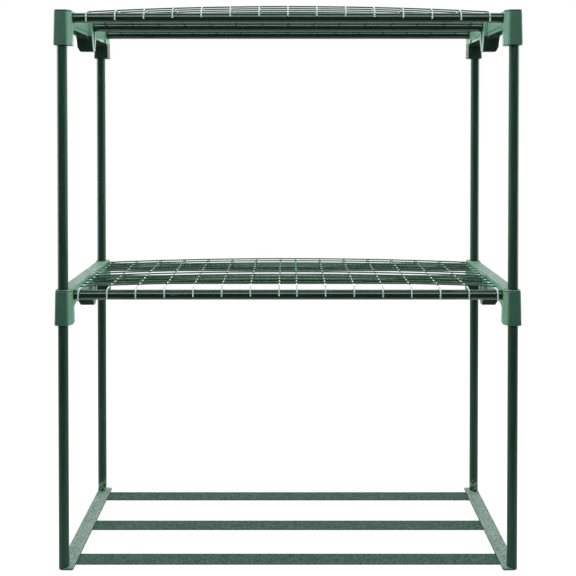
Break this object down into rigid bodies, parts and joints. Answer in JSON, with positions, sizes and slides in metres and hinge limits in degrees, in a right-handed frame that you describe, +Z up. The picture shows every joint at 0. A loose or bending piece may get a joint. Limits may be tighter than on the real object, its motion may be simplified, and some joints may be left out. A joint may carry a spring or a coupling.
{
  "type": "plant growing rack",
  "caption": "Open free-standing plant rack: round tube legs in moulded side rails, tube shelf bars, bowed wire shelves that hook over the bars and lift off, and a flat base frame.",
  "frame": {"origin": "on the floor at the middle of the footprint", "axes": "+Z up along the legs, +X along the shelves to the viewer's right, -Y to the front"},
  "size_m": [0.8894, 0.2954, 1.082],
  "materials": {
    "moulded": "satin dark green moulded plastic with a fine grain",
    "tube": "glossy very dark green coating on steel tube",
    "wire": "glossy pale green coating on steel wire",
    "flat": "satin mid green coating with a fine grain on steel strip"
  },
  "bodies": {
    "frame": {"left_upper_side_rail": "moulded", "right_upper_side_rail": "moulded", "left_lower_side_rail": "moulded", "right_lower_side_rail": "moulded", "front_left_upper_leg": "tube", "front_right_upper_leg": "tube", "rear_left_upper_leg": "tube", "rear_right_upper_leg": "tube", "front_left_lower_leg": "tube", "front_right_lower_leg": "tube", "rear_left_lower_leg": "tube", "rear_right_lower_leg": "tube", "upper_front_bar": "tube", "upper_middle_bar": "tube", "upper_rear_bar": "tube", "lower_front_bar": "tube", "lower_middle_bar": "tube", "lower_rear_bar": "tube", "left_base_rail": "moulded", "right_base_rail": "moulded", "front_base_flat": "flat", "middle_base_flat": "flat", "rear_base_flat": "flat"},
    "upper_shelf": {"upper_wire_shelf": "wire"},
    "lower_shelf": {"lower_wire_shelf": "wire"}
  },
  "joints": [
    {"name": "upper_shelf_lift", "type": "slide", "parent": "frame", "child": "upper_shelf", "axis": [0, 0, 1], "range_m": [0, 0.12]},
    {"name": "lower_shelf_lift", "type": "slide", "parent": "frame", "child": "lower_shelf", "axis": [0, 0, 1], "range_m": [0, 0.15]}
  ]
}
